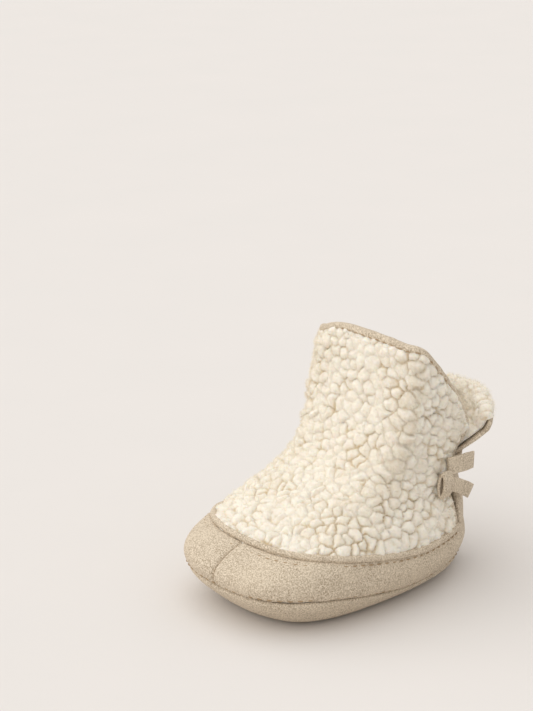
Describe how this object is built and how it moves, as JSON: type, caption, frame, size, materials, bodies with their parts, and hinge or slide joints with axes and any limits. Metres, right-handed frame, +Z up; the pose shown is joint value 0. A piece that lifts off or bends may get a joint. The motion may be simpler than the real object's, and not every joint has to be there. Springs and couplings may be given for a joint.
{
  "type": "baby bootie",
  "caption": "Soft slip-in baby bootie with a suede sole and band, a curly sherpa front, a sherpa-lined suede heel panel that folds back, and a tie at the ankle.",
  "frame": {"origin": "under the middle of the whole bootie, on the surface that it stands on", "axes": "+Z up, toe towards -Y, heel towards +Y, the wearer's left (the foot's outer side, with the knot) towards +X"},
  "size_m": [0.0734, 0.1216, 0.097],
  "materials": {
    "suede": "napped suede, matt",
    "sherpa": "curly wool-like pile",
    "lining_cloth": "brushed cotton cloth",
    "wadding": "soft wadding and foam",
    "thread": "twisted thread"
  },
  "bodies": {
    "shoe": {"outsole": "suede", "sole_padding": "wadding", "footbed": "lining_cloth", "side_band_left": "suede", "side_band_right": "suede", "band_wadding": "wadding", "vamp_piping": "suede", "front_panel": "sherpa", "foot_lining": "lining_cloth", "topline_binding": "suede", "tie_knot": "suede", "toe_seam_thread": "thread", "heel_seam_thread": "thread", "sole_seam_thread": "thread", "vamp_seam_thread": "thread", "binding_thread": "thread"},
    "heel_flap": {"back_panel": "suede", "back_lining": "sherpa", "tie_strap": "suede"},
    "upper_tail": {"tie_tail_upper": "suede"},
    "lower_tail": {"tie_tail_lower": "suede"}
  },
  "joints": [
    {"name": "back_panel_fold", "type": "hinge", "parent": "shoe", "child": "heel_flap", "pos_m": [0, 0.0492, 0.02035], "axis": [-1, 0, 0], "range_deg": [0, 40]},
    {"name": "upper_tail_swing", "type": "hinge", "parent": "shoe", "child": "upper_tail", "pos_m": [0.02812, 0.0257, 0.0449], "axis": [1, 0, 0], "range_deg": [-10, 30]},
    {"name": "lower_tail_swing", "type": "hinge", "parent": "shoe", "child": "lower_tail", "pos_m": [0.02812, 0.0257, 0.0381], "axis": [1, 0, 0], "range_deg": [-8, 10]}
  ]
}
